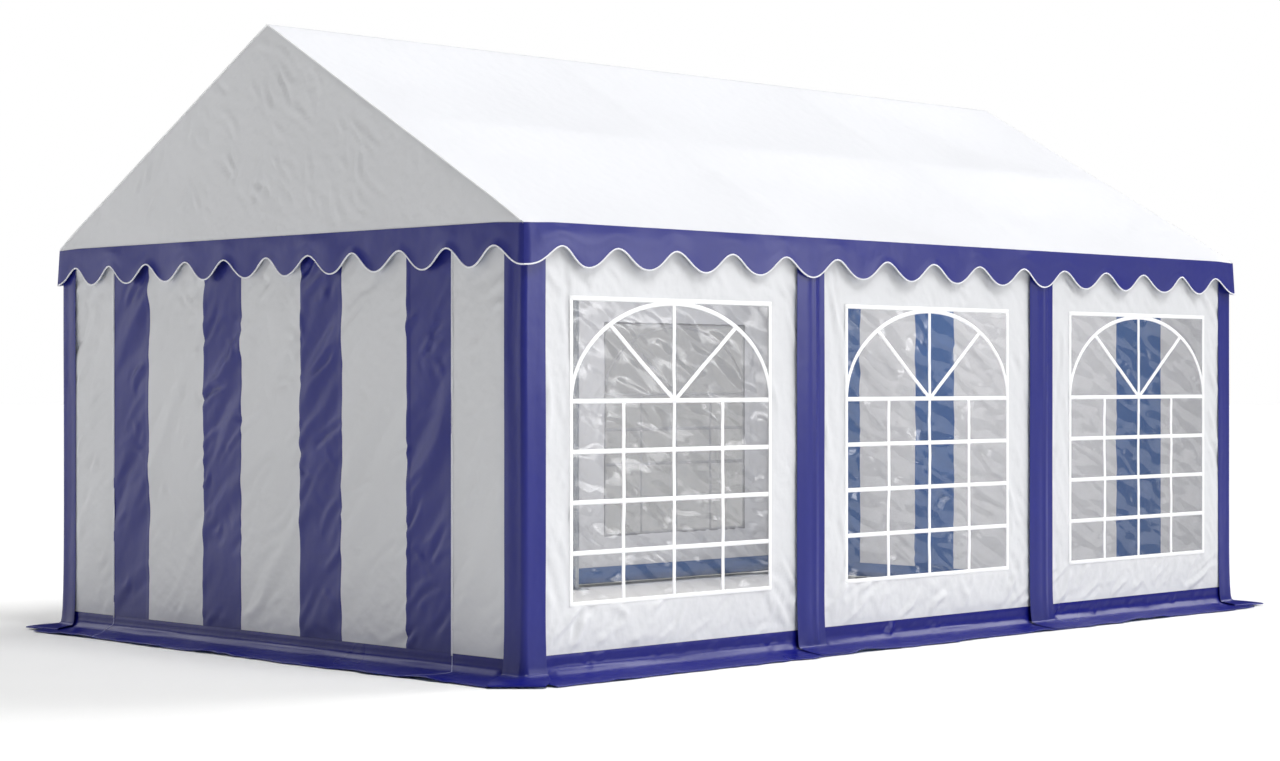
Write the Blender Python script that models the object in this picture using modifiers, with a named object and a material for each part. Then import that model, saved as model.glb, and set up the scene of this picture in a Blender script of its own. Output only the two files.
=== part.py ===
"""Party tent: a galvanised tube frame with a white cover, striped gables and three window bays a side.

Metres, +Z up. The origin is the centre of the footprint on the ground. X runs across the gables and
Y along the ridge, with the front gable at -Y.
"""
import math

import bmesh
import bpy
from mathutils import Vector

# The tent's size over its wall sheets
LENGTH = 6.0
WIDTH = 3.85
BAY = 2.0
EAVE_Z = 2.15
RIDGE_Z = 3.245

# Sheets are thicker than the real cloth, so that each is a solid
SHEET = 0.004
GAP = 0.0003

# Tubes and the sleeves that join them
TUBE_R = 0.019
SLEEVE_R = 0.023
TUBE_SIDES_RESOLUTION = 6
SLEEVE_REACH = 0.06
SLEEVE_END_INSET = 0.002
SOCKET_DEPTH = 0.12
SOCKET_TOP_DROP = 0.005
POST_TOP_DROP = 0.025
TIE_DROP = 0.085
PLATE_SIDE = 0.10
PLATE_THICKNESS = 0.005

# A bore's cutter runs this far past its sleeve; caps are welded within the merge distance
CUT_PAST = 0.05
MERGE_DISTANCE = 0.00001
SHARP_ANGLE = math.radians(40)

# Roof overhang, scalloped valance and wall sheets
OVERHANG = 0.02
VALANCE_TOP = 2.145
VALANCE_TIP = 1.94
VALANCE_VALLEY = 2.042
SIDE_SCALLOPS = 15
GABLE_SCALLOPS = 11
POINTS_PER_SCALLOP = 8
WALL_TOP = 2.13
SIDE_WALL_BOTTOM = 0.125
GABLE_WALL_BOTTOM = 0.11
CORNER_INSET = 0.026
DOOR_HALF_WIDTH = 1.42

# Window opening in each bay
WINDOW_HALF_WIDTH = 0.70
WINDOW_BOTTOM = 0.353
WINDOW_TOP = 1.80

# Outer face of the foot skirt and of the covers: distance out from the wall, height
SKIRT_FOLDS = [(0.0, 0.055), (0.012, 0.036), (0.035, 0.022), (0.09, 0.010), (0.21, 0.004)]
POST_COVER_WIDTH = 0.215
POST_COVER_FOLDS = [(0.0157, 2.05), (0.0157, 0.10), (0.020, 0.06), (0.035, 0.038), (0.06, 0.026),
                    (0.10, 0.0175), (0.185, 0.0098)]
CORNER_COVER_ARM = 0.133
CORNER_COVER_FOLDS = [(0.0043, 2.05), (0.0043, 0.10), (0.010, 0.06), (0.03, 0.036), (0.06, 0.024),
                      (0.10, 0.0170), (0.17, 0.0105)]
CORNER_ARC_STEPS = 6

# Places worked out from the sizes
HALF_L = LENGTH / 2
HALF_W = WIDTH / 2
EAVE_X = HALF_W + OVERHANG
ROOF_END_Y = HALF_L + OVERHANG
SLOPE = math.atan2(RIDGE_Z - EAVE_Z, EAVE_X)
ROOF_DROP = SHEET / math.cos(SLOPE)
POST_X = HALF_W - SHEET - GAP - SLEEVE_R
END_POST_Y = HALF_L - SHEET - GAP - SLEEVE_R
NODE_DROP = (SLEEVE_R + GAP) / math.cos(SLOPE)
EAVE_RAIL_Z = RIDGE_Z - POST_X * math.tan(SLOPE) - ROOF_DROP - NODE_DROP
RIDGE_RAIL_Z = EAVE_RAIL_Z + POST_X * math.tan(SLOPE)
PURLIN_X = POST_X / 2
PURLIN_Z = (EAVE_RAIL_Z + RIDGE_RAIL_Z) / 2
RAIL_END_Y = HALF_L - SHEET - 2 * GAP
POST_ROWS = {"front": -END_POST_Y, "second": -BAY / 2, "third": BAY / 2, "back": END_POST_Y}
SIDES = {"left": -1, "right": 1}
ENDS = {"front": -1, "back": 1}

COLORS = {
    "white_sheet": ((0.84, 0.85, 0.87, 1), 0.45, 0.0),
    "blue_sheet": ((0.02, 0.018, 0.20, 1), 0.4, 0.0),
    "clear_foil": ((0.80, 0.84, 0.86, 1), 0.1, 0.0),
    "galvanised_steel": ((0.55, 0.57, 0.58, 1), 0.4, 1.0),
}


def start_clean():
    for obj in list(bpy.data.objects):
        bpy.data.objects.remove(obj, do_unlink=True)


def collection(name):
    group = bpy.data.collections.new(name)
    bpy.context.scene.collection.children.link(group)
    return group


def material(name):
    color, roughness, metallic = COLORS[name]
    made = bpy.data.materials.new(name)
    made.use_nodes = True
    shader = made.node_tree.nodes["Principled BSDF"]
    shader.inputs["Base Color"].default_value = color
    shader.inputs["Roughness"].default_value = roughness
    shader.inputs["Metallic"].default_value = metallic
    return made


def add_object(name, data, surface, group):
    obj = bpy.data.objects.new(name, data)
    if surface is not None:
        obj.data.materials.append(surface)
    group.objects.link(obj)
    return obj


def tube_curve(name, start, end, radius):
    """A straight tube as a two-point curve with a round bevel and filled caps."""
    curve = bpy.data.curves.new(name, "CURVE")
    curve.dimensions = "3D"
    curve.bevel_depth = radius
    curve.bevel_resolution = TUBE_SIDES_RESOLUTION
    curve.use_fill_caps = True
    spline = curve.splines.new("POLY")
    spline.points.add(1)
    for point, place in zip(spline.points, (start, end)):
        point.co = (*place, 1)
    return curve


def add_tube(name, start, end, surface, group):
    curve = tube_curve(name, start, end, TUBE_R)
    return add_object(name, curve, surface, group)


def tube_mesh(name, start, end, radius, surface, group):
    """A tube turned into a closed mesh, to be joined or cut."""
    guide = add_object(name + "_curve", tube_curve(name, start, end, radius), None, group)
    depsgraph = bpy.context.evaluated_depsgraph_get()
    mesh = bpy.data.meshes.new_from_object(guide.evaluated_get(depsgraph))
    bm = bmesh.new()
    bm.from_mesh(mesh)
    bmesh.ops.remove_doubles(bm, verts=bm.verts, dist=MERGE_DISTANCE)
    bm.to_mesh(mesh)
    bm.free()
    mesh.shade_smooth()
    mesh.set_sharp_from_angle(angle=SHARP_ANGLE)
    mesh.name = name
    obj = add_object(name, mesh, surface, group)
    obj.matrix_world = guide.matrix_world
    bpy.data.objects.remove(guide, do_unlink=True)
    return obj


def box_mesh(name, size, center, group):
    bm = bmesh.new()
    bmesh.ops.create_cube(bm, size=1)
    bmesh.ops.scale(bm, vec=size, verts=bm.verts)
    bmesh.ops.translate(bm, vec=center, verts=bm.verts)
    mesh = bpy.data.meshes.new(name)
    bm.to_mesh(mesh)
    bm.free()
    return add_object(name, mesh, None, group)


def hide_cutter(obj):
    obj.hide_render = True
    obj.display_type = "WIRE"
    return obj


def boolean(obj, tool, operation):
    hide_cutter(tool)
    step = obj.modifiers.new(operation.lower(), "BOOLEAN")
    step.operation = operation
    step.solver = "EXACT"
    step.object = tool


def truss(row, y, steel, parts, cutters):
    """Two rafters, joined by the sleeves that the long rails pass and the posts stand in."""
    name = row + "_truss"
    ridge = (0, y, RIDGE_RAIL_Z)
    if row in ENDS:
        span = (ENDS[row] * (RAIL_END_Y - SLEEVE_END_INSET), y - ENDS[row] * SLEEVE_REACH)
    else:
        span = (y - SLEEVE_REACH, y + SLEEVE_REACH)
    low, high = sorted(span)
    rafter = tube_mesh(name, (-POST_X, y, EAVE_RAIL_Z), ridge, TUBE_R, steel, parts)
    other = tube_mesh(name + "_rafter", (POST_X, y, EAVE_RAIL_Z), ridge, TUBE_R, None, cutters)
    boolean(rafter, other, "UNION")
    rails = [(0, RIDGE_RAIL_Z)]
    for side in SIDES.values():
        rails.append((side * PURLIN_X, PURLIN_Z))
        rails.append((side * POST_X, EAVE_RAIL_Z))
    for number, (x, z) in enumerate(rails):
        sleeve = tube_mesh(f"{name}_sleeve_{number}", (x, low, z), (x, high, z), SLEEVE_R, None, cutters)
        boolean(rafter, sleeve, "UNION")
    for side_name, side in SIDES.items():
        x = side * POST_X
        socket = tube_mesh(f"{name}_{side_name}_socket", (x, y, EAVE_RAIL_Z - SOCKET_DEPTH),
                           (x, y, EAVE_RAIL_Z - SOCKET_TOP_DROP), SLEEVE_R, None, cutters)
        boolean(rafter, socket, "UNION")
    for number, (x, z) in enumerate(rails):
        hole = tube_mesh(f"{name}_hole_{number}", (x, low - CUT_PAST, z), (x, high + CUT_PAST, z),
                         TUBE_R + GAP, None, cutters)
        boolean(rafter, hole, "DIFFERENCE")
    for side_name, side in SIDES.items():
        x = side * POST_X
        bore = tube_mesh(f"{name}_{side_name}_bore", (x, y, EAVE_RAIL_Z - SOCKET_DEPTH - CUT_PAST),
                         (x, y, EAVE_RAIL_Z - POST_TOP_DROP + GAP), TUBE_R + GAP, None, cutters)
        boolean(rafter, bore, "DIFFERENCE")


def post(row, y, side_name, steel, parts, cutters):
    """A tube in a truss socket, welded to a square plate that lies inside the wall sheets."""
    side = SIDES[side_name]
    name = f"{row}_{side_name}_post"
    x = side * POST_X
    top = (x, y, EAVE_RAIL_Z - POST_TOP_DROP)
    upright = tube_mesh(name, (x, y, PLATE_THICKNESS / 2), top, TUBE_R, steel, parts)
    plate_x = side * (HALF_W - SHEET - GAP - PLATE_SIDE / 2)
    plate_y = y
    if row in ENDS:
        plate_y = ENDS[row] * (HALF_L - SHEET - GAP - PLATE_SIDE / 2)
    plate = box_mesh(name + "_plate", (PLATE_SIDE, PLATE_SIDE, PLATE_THICKNESS),
                     (plate_x, plate_y, PLATE_THICKNESS / 2), cutters)
    boolean(upright, plate, "UNION")


def long_rails(steel, parts):
    add_tube("ridge_rail", (0, -RAIL_END_Y, RIDGE_RAIL_Z), (0, RAIL_END_Y, RIDGE_RAIL_Z), steel, parts)
    for side_name, side in SIDES.items():
        for name, x, z in (("purlin", PURLIN_X, PURLIN_Z), ("eave_rail", POST_X, EAVE_RAIL_Z)):
            add_tube(f"{side_name}_{name}", (side * x, -RAIL_END_Y, z), (side * x, RAIL_END_Y, z),
                     steel, parts)


def gable_ties(steel, parts):
    """A tube between the corner sockets, which the gable wall hangs from."""
    reach = POST_X - SLEEVE_R - GAP
    tie_y = HALF_L - SHEET - GAP - TUBE_R
    z = EAVE_RAIL_Z - TIE_DROP
    for end_name, end in ENDS.items():
        add_tube(end_name + "_gable_tie", (-reach, end * tie_y, z), (reach, end * tie_y, z), steel, parts)


def flat_sheet(name, outlines, facing, plane, surface, parts):
    """A flat sheet from closed outlines in (along, up). plane is its outer face, facing its normal.

    A second outline inside the first cuts an opening.
    """
    curve = bpy.data.curves.new(name, "CURVE")
    curve.dimensions = "2D"
    curve.fill_mode = "BOTH"
    curve.extrude = SHEET / 2
    for outline in outlines:
        spline = curve.splines.new("POLY")
        spline.points.add(len(outline) - 1)
        for point, (along, up) in zip(spline.points, outline):
            point.co = (along, up, 0, 1)
        spline.use_cyclic_u = True
    obj = add_object(name, curve, surface, parts)
    middle = plane - SHEET / 2
    if facing in SIDES:
        obj.rotation_euler = (math.pi / 2, 0, math.pi / 2)
        obj.location = (SIDES[facing] * middle, 0, 0)
    else:
        obj.rotation_euler = (math.pi / 2, 0, 0)
        obj.location = (0, ENDS[facing] * middle, 0)
    return obj


def rectangle(low, high, bottom, top):
    return [(low, bottom), (high, bottom), (high, top), (low, top)]


def window_walls(white, foil, parts):
    """Three sheets a side, each with a rectangular opening that a clear foil closes."""
    end = HALF_L - CORNER_INSET
    for side_name in SIDES:
        for number, center in enumerate((-BAY, 0, BAY), start=1):
            low = max(center - BAY / 2 + GAP / 2, -end)
            high = min(center + BAY / 2 - GAP / 2, end)
            opening = rectangle(center - WINDOW_HALF_WIDTH, center + WINDOW_HALF_WIDTH,
                                WINDOW_BOTTOM, WINDOW_TOP)
            wall = rectangle(low, high, SIDE_WALL_BOTTOM, WALL_TOP)
            flat_sheet(f"{side_name}_window_wall_{number}", [wall, opening], side_name, HALF_W,
                       white, parts)
            pane = rectangle(center - WINDOW_HALF_WIDTH + GAP, center + WINDOW_HALF_WIDTH - GAP,
                             WINDOW_BOTTOM + GAP, WINDOW_TOP - GAP)
            flat_sheet(f"{side_name}_window_foil_{number}", [pane], side_name, HALF_W, foil, parts)


def gable_walls(white, parts):
    """A zipped door panel between two strips, under a triangle in the plane of the valance."""
    edge = HALF_W - CORNER_INSET
    bottom = GABLE_WALL_BOTTOM
    triangle_base = VALANCE_TOP + GAP
    peak = RIDGE_Z - ROOF_DROP - GAP / math.cos(SLOPE)
    base_half = (peak - triangle_base) / math.tan(SLOPE)
    triangle = [(-base_half, triangle_base), (base_half, triangle_base), (0, peak)]
    for end_name in ENDS:
        door = rectangle(-DOOR_HALF_WIDTH + GAP, DOOR_HALF_WIDTH - GAP, bottom, WALL_TOP)
        flat_sheet(end_name + "_door_panel", [door], end_name, HALF_L, white, parts)
        for side_name, side in SIDES.items():
            low, high = sorted((side * DOOR_HALF_WIDTH, side * edge))
            strip = rectangle(low, high, bottom, WALL_TOP)
            flat_sheet(f"{end_name}_{side_name}_strip", [strip], end_name, HALF_L, white, parts)
        flat_sheet(end_name + "_gable", [triangle], end_name, ROOF_END_Y, white, parts)


def scallop_outline(half, count):
    """A strip with a straight top and a wave along its bottom, with tips at both ends."""
    middle = (VALANCE_TIP + VALANCE_VALLEY) / 2
    swing = (VALANCE_VALLEY - VALANCE_TIP) / 2
    steps = count * POINTS_PER_SCALLOP
    outline = []
    for step in range(steps + 1):
        along = -half + 2 * half * step / steps
        phase = 2 * math.pi * step / POINTS_PER_SCALLOP
        outline.append((along, middle - swing * math.cos(phase)))
    outline.append((half, VALANCE_TOP))
    outline.append((-half, VALANCE_TOP))
    return outline


def valances(blue, parts):
    side_half = ROOF_END_Y - SHEET - GAP
    for side_name in SIDES:
        outline = scallop_outline(side_half, SIDE_SCALLOPS)
        flat_sheet(side_name + "_valance", [outline], side_name, EAVE_X, blue, parts)
    for end_name in ENDS:
        outline = scallop_outline(EAVE_X, GABLE_SCALLOPS)
        flat_sheet(end_name + "_valance", [outline], end_name, ROOF_END_Y, blue, parts)


def shaped_sheet(name, columns, rows, place, surface, parts):
    """A grid of columns by rows points, moved to place(column, row), thickened behind its face."""
    bm = bmesh.new()
    bmesh.ops.create_grid(bm, x_segments=columns - 1, y_segments=rows - 1, size=1)
    for vert in bm.verts:
        column = round((vert.co.x + 1) / 2 * (columns - 1))
        row = round((vert.co.y + 1) / 2 * (rows - 1))
        vert.co = place(column, row)
    mesh = bpy.data.meshes.new(name)
    bm.to_mesh(mesh)
    bm.free()
    obj = add_object(name, mesh, surface, parts)
    thickness = obj.modifiers.new("thickness", "SOLIDIFY")
    thickness.thickness = SHEET
    thickness.offset = -1
    thickness.use_even_offset = True
    return obj


def roof_cover(white, parts):
    edges = [(-EAVE_X, EAVE_Z), (0, RIDGE_Z), (EAVE_X, EAVE_Z)]

    def place(column, row):
        x, z = edges[column]
        return Vector((x, (2 * row - 1) * ROOF_END_Y, z))

    shaped_sheet("roof_cover", len(edges), 2, place, white, parts)


def skirts(blue, parts):
    """The foot band and ground flap of each side, folded outwards near the ground."""
    side_folds = [(0.0, SIDE_WALL_BOTTOM - GAP)] + SKIRT_FOLDS
    for side_name, side in SIDES.items():

        def place_side(column, row):
            out, z = side_folds[row]
            along = (2 * column - 1) * (HALF_L - CORNER_INSET)
            return Vector((side * (HALF_W + out), -side * along, z))

        shaped_sheet(side_name + "_skirt", 2, len(side_folds), place_side, blue, parts)
    end_folds = [(0.0, GABLE_WALL_BOTTOM - GAP)] + SKIRT_FOLDS
    for end_name, end in ENDS.items():

        def place_end(column, row):
            out, z = end_folds[row]
            along = (2 * column - 1) * (HALF_W - CORNER_INSET)
            return Vector((end * along, end * (HALF_L + out), z))

        shaped_sheet(end_name + "_skirt", 2, len(end_folds), place_end, blue, parts)


def post_covers(blue, parts):
    """A hanging flap outside each post between two windows, with its foot lying on the skirt."""
    for row_name in ("second", "third"):
        for side_name, side in SIDES.items():

            def place(column, row):
                out, z = POST_COVER_FOLDS[row]
                along = (column - 0.5) * POST_COVER_WIDTH
                return Vector((side * (HALF_W + out), POST_ROWS[row_name] - side * along, z))

            shaped_sheet(f"{row_name}_{side_name}_post_cover", 2, len(POST_COVER_FOLDS), place,
                         blue, parts)


def corner_covers(blue, parts):
    """A flap wrapped round each corner post, with its foot spread over both skirts."""
    columns = CORNER_ARC_STEPS + 3
    radius = SHEET + GAP + SLEEVE_R
    for end_name, end in ENDS.items():
        for side_name, side in SIDES.items():

            def place(column, row):
                out, z = CORNER_COVER_FOLDS[row]
                if side != end:
                    column = columns - 1 - column
                if column == 0:
                    x, y = HALF_W - CORNER_COVER_ARM, HALF_L + out
                elif column == columns - 1:
                    x, y = HALF_W + out, HALF_L - CORNER_COVER_ARM
                else:
                    angle = math.pi / 2 * (1 - (column - 1) / CORNER_ARC_STEPS)
                    x = HALF_W - radius + (radius + out) * math.cos(angle)
                    y = HALF_L - radius + (radius + out) * math.sin(angle)
                return Vector((side * x, end * y, z))

            shaped_sheet(f"{end_name}_{side_name}_corner_cover", columns, len(CORNER_COVER_FOLDS),
                         place, blue, parts)


def main():
    start_clean()
    parts = collection("party_tent")
    cutters = collection("cutters")
    white = material("white_sheet")
    blue = material("blue_sheet")
    foil = material("clear_foil")
    steel = material("galvanised_steel")
    for row, y in POST_ROWS.items():
        truss(row, y, steel, parts, cutters)
        for side_name in SIDES:
            post(row, y, side_name, steel, parts, cutters)
    long_rails(steel, parts)
    gable_ties(steel, parts)
    roof_cover(white, parts)
    gable_walls(white, parts)
    window_walls(white, foil, parts)
    valances(blue, parts)
    skirts(blue, parts)
    post_covers(blue, parts)
    corner_covers(blue, parts)


main()
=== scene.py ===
"""Party tent, 4 x 6 m class: the sheets, foils, strips and tubes as they look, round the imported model.

Metres, +Z up. X runs across the gables and Y along the ridge, with the front gable at -Y.
Cloth is drawn flat as (along, up, out), seen from outside, and then stood on its wall.
"""
import math
import random

import bmesh
import bpy
import numpy as np
from mathutils import Matrix, Vector


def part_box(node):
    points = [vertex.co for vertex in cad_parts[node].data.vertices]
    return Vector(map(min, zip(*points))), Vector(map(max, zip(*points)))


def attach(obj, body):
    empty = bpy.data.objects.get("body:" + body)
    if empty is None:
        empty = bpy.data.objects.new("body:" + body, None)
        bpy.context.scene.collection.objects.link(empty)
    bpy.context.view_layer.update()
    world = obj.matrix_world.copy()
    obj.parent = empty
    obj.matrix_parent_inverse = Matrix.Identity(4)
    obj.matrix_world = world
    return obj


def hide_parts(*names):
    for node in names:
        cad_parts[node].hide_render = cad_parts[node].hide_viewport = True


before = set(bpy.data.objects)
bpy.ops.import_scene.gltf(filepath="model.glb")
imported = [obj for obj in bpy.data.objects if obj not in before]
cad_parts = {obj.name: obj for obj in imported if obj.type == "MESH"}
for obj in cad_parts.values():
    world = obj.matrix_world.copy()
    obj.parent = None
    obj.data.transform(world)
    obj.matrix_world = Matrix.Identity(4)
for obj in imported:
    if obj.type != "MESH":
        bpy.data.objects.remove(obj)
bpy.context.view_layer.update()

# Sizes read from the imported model
WALL_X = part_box("right_window_wall_1")[1].x
WALL_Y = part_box("back_door_panel")[1].y
ROOF_X, ROOF_Y, RIDGE_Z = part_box("roof_cover")[1]
VALANCE_TIP, VALANCE_TOP = (corner.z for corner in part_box("right_valance"))
SIDE_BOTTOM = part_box("right_window_wall_2")[0].z
DOOR_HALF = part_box("front_door_panel")[1].x
GABLE_BOTTOM, WALL_TOP = (corner.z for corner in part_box("front_door_panel"))
WINDOW_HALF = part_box("right_window_foil_2")[1].y
SILL_Z, WINDOW_TOP = (corner.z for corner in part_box("right_window_foil_2"))
COVER_START, COVER_END = (corner.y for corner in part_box("second_right_post_cover"))
COVER_HALF = (COVER_END - COVER_START) / 2
PURLIN_X = sum(corner.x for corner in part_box("right_purlin")) / 2
POST_Y = sum(corner.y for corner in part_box("third_right_post")) / 2
BAY = 2 * POST_Y

# Sizes of the roof and of the cloth itself
EAVE_Z = VALANCE_TOP + 0.005
SLOPE = (RIDGE_Z - EAVE_Z) / ROOF_X
CLOTH = 0.0011
LAP = 0.012
RIDGE_SOFTNESS = 0.004
ROOF_SAG = 0.035

# How far wall cloth may lie in at its held edges and, past them, in and out elsewhere
RIM_IN = 0.0015
SIDE_IN = 0.0095
SIDE_OUT = 0.0115
GABLE_IN = 0.0115
GABLE_OUT = 0.014

# Scalloped edge
VALANCE_VALLEY = 2.042
SIDE_SCALLOPS = 15
GABLE_SCALLOPS = 11
CORNER_RADIUS = 0.022
CORNER_DIP = 0.007
PIPING_RADIUS = 0.0042
WELT_RADIUS = 0.004
FULLNESS = 0.08

# Stripes of the gable wall: edges of the white and blue lengths, out from the middle
STRIPE_EDGES = (0.249, 0.586, 1.083)
WELD = 0.018
WELD_LIFT = 0.0009

# Window strips
BAR = 0.0225
SPRING_Z = 1.312
ARCH_RISE = WINDOW_TOP - SPRING_Z - 0.013
ARCH_STEPS = 56
PANE_ROWS = 4
SPOKE = (0.446, 0.365)
FILM = 0.0012
FILM_LIFT = 0.0005

# Sections of the foot cloths, outwards from the wall's plane, from the top down: (out, up)
SIDE_FOLDS = ((-0.005, SIDE_BOTTOM + 0.012), (-0.003, SIDE_BOTTOM - 0.001), (0, SIDE_BOTTOM - 0.006),
              (0.001, 0.085), (0.002, 0.071), (0.005, 0.062), (0.033, 0.034), (0.037, 0.0305),
              (0.06, 0.0245), (0.1, 0.017), (0.205, 0.008))
END_FOLDS = ((-0.005, GABLE_BOTTOM + 0.012), (-0.003, GABLE_BOTTOM - 0.001), (0, GABLE_BOTTOM - 0.006),
             (0.001, 0.075), (0.003, 0.062), (0.007, 0.055), (0.034, 0.03), (0.038, 0.0265),
             (0.06, 0.0215), (0.11, 0.015), (0.222, 0.008))
POST_COVER_FOLDS = ((0.0157, 2.06), (0.0157, 0.3), (0.017, 0.2), (0.02, 0.12), (0.024, 0.07),
                    (0.029, 0.043), (0.033, 0.037), (0.06, 0.0285), (0.11, 0.0195), (0.19, 0.012))
CORNER_FOLDS = ((0.0043, 2.06), (0.0043, 0.34), (0.006, 0.22), (0.009, 0.13), (0.014, 0.07),
                (0.02, 0.041), (0.024, 0.036), (0.06, 0.0285), (0.1, 0.021), (0.165, 0.013))

# Feet and covers, whose hems turn down a pale cut edge
FOLD = 0.036
FLAP_TOP = 0.035
HEM = 0.0036
GROUND_GAP = 0.0024
COVER_ROWS = 80
COVER_FOOT = 0.17
CORNER_ARM = 0.133
CORNER_BEND = 0.016
CORNER_POINT = 0.15
SKIRT_SEEDS = {"front": 51, "right": 61, "back": 71, "left": 81}

# Cell sizes of the cloth meshes
WALL_STEP = 0.0147
GABLE_STEP = 0.0175
FOIL_STEP = 0.03
ROOF_STEP = 0.035
FOOT_STEP = 0.02

# The camera of the photo: a level view from the front right corner, with its lens for a 36 mm sensor
CAMERA_PLACE = (10.803, -11.182, 1.41)
CAMERA_TURN = 44.79
CAMERA_LENS = 73.3


def srgb(code):
    """A linear colour from an sRGB hex code."""
    parts = [int(code[i:i + 2], 16) / 255 for i in (1, 3, 5)]
    return tuple(c / 12.92 if c <= 0.04045 else ((c + 0.055) / 1.055) ** 2.4 for c in parts) + (1.0,)


def add_node(tree, kind, values=None, links=None, **settings):
    """Adds a node with its sockets' values, what feeds it and its own settings.

    What feeds it is a socket, or a node that gives its first output.
    """
    made = tree.nodes.new(kind)
    for key, value in settings.items():
        setattr(made, key, value)
    for key, value in (values or {}).items():
        made.inputs[key].default_value = value
    for key, source in (links or {}).items():
        feed = source.outputs[0] if isinstance(source, bpy.types.Node) else source
        tree.links.new(feed, made.inputs[key])
    return made


def material(name, surface, *values):
    """A material whose surface is one of the functions below, built on its object coordinates."""
    made = bpy.data.materials.new(name)
    made.use_nodes = True
    tree = made.node_tree
    tree.nodes.clear()
    place = add_node(tree, "ShaderNodeTexCoord").outputs["Object"]
    add_node(tree, "ShaderNodeOutputMaterial", None, {"Surface": surface(tree, place, *values)})
    return made


def tarpaulin(tree, place, pale, deep, roughness, specular, crumple=0.004):
    """Woven polyester, knife-coated with soft PVC on both faces and embossed by the weave below.

    It gives a satin sheen that breaks up over a soft leathery crumple, with a colour that drifts a
    little where the coat lies thicker. The threads are 1 mm apart, too fine to show, so the crumple's
    70 mm swells are drawn with a grain of about 20 mm in place of the weave.
    """
    drift = add_node(tree, "ShaderNodeTexNoise", {"Scale": 1 / 0.5, "Detail": 1.0}, {"Vector": place})
    color = add_node(tree, "ShaderNodeMix", {6: srgb(pale), 7: srgb(deep)}, {0: drift}, data_type="RGBA")
    rough = add_node(tree, "ShaderNodeMapRange",
                     {"From Min": 0.3, "From Max": 0.7, "To Min": roughness - 0.05,
                      "To Max": roughness + 0.05}, {"Value": drift})
    grain = add_node(tree, "ShaderNodeTexNoise", {"Scale": 1 / 0.07, "Detail": 1.5, "Roughness": 0.5},
                     {"Vector": place})
    crumpled = add_node(tree, "ShaderNodeBump", {"Strength": 1.0, "Distance": crumple}, {"Height": grain})
    return add_node(tree, "ShaderNodeBsdfPrincipled", {"IOR": 1.5, "Specular IOR Level": specular},
                    {"Base Color": color.outputs[2], "Roughness": rough, "Normal": crumpled})


def clear_foil(tree, place):
    """Calendered clear PVC film, 0.5 mm thick, smoky from age and rippled from being rolled up.

    It passes a little over half of the light. Its polished face, drawn as a coat, mirrors the sky in
    short bright streaks that lie along the ripples.
    """
    along = add_node(tree, "ShaderNodeSeparateXYZ", None, {"Vector": place})
    ripples = add_node(tree, "ShaderNodeCombineXYZ", None,
                       {"X": along.outputs["Y"], "Y": along.outputs["Z"]})
    turned = add_node(tree, "ShaderNodeMapping",
                      {"Rotation": (0, 0, math.radians(-24)), "Scale": (0.19, 0.085, 1)},
                      {"Vector": ripples}, vector_type="TEXTURE")
    ripple = add_node(tree, "ShaderNodeTexNoise",
                      {"Scale": 1.0, "Detail": 0.5, "Roughness": 0.45, "Distortion": 0.3},
                      {"Vector": turned}, noise_dimensions="2D")
    normal = add_node(tree, "ShaderNodeBump", {"Strength": 1.0, "Distance": 0.035}, {"Height": ripple})
    film = add_node(tree, "ShaderNodeBsdfPrincipled",
                    {"Base Color": srgb("#4E4F50"), "Roughness": 0.4, "IOR": 1.5,
                     "Coat Weight": 1.0, "Coat Roughness": 0.17, "Coat IOR": 2.0},
                    {"Coat Normal": normal})
    through = add_node(tree, "ShaderNodeBsdfTransparent", {"Color": srgb("#F8F8F9")})
    return add_node(tree, "ShaderNodeMixShader", {0: 0.445}, {1: through, 2: film})


def white_film(tree, place, glow):
    """Strips cut from glossy white PVC film and welded on the foil, brighter and smoother than cloth.

    Its inner face can take a painted glow: an emission that stands in for the daylight through the
    thin film, where a window is seen from behind.
    """
    grain = add_node(tree, "ShaderNodeTexNoise", {"Scale": 1 / 0.03, "Detail": 3.0}, {"Vector": place})
    color = add_node(tree, "ShaderNodeMix", {6: srgb("#FFFFFF"), 7: srgb("#F6F7FA")},
                     {0: grain}, data_type="RGBA")
    pressed = add_node(tree, "ShaderNodeBump", {"Strength": 0.6, "Distance": 0.0006}, {"Height": grain})
    return add_node(tree, "ShaderNodeBsdfPrincipled",
                    {"Roughness": 0.32, "IOR": 1.5, "Specular IOR Level": 0.5,
                     "Emission Color": srgb("#FFFFFF"), "Emission Strength": glow},
                    {"Base Color": color.outputs[2], "Normal": pressed})


def braid(tree, place):
    """Edge binding of woven polyester tape, folded over the cut edge: matt, finely ribbed, pale grey."""
    rib = add_node(tree, "ShaderNodeTexWave", {"Scale": 1 / 0.012, "Distortion": 1.0, "Detail": 2.0},
                   {"Vector": place}, wave_type="BANDS", bands_direction="DIAGONAL")
    color = add_node(tree, "ShaderNodeMix", {6: srgb("#E6E6EE"), 7: srgb("#FBFBFF")},
                     {0: rib.outputs["Fac"]}, data_type="RGBA")
    ribbed = add_node(tree, "ShaderNodeBump", {"Strength": 0.5, "Distance": 0.0006},
                      {"Height": rib.outputs["Fac"]})
    return add_node(tree, "ShaderNodeBsdfPrincipled",
                    {"Roughness": 0.7, "IOR": 1.5, "Specular IOR Level": 0.3},
                    {"Base Color": color.outputs[2], "Normal": ribbed})


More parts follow.
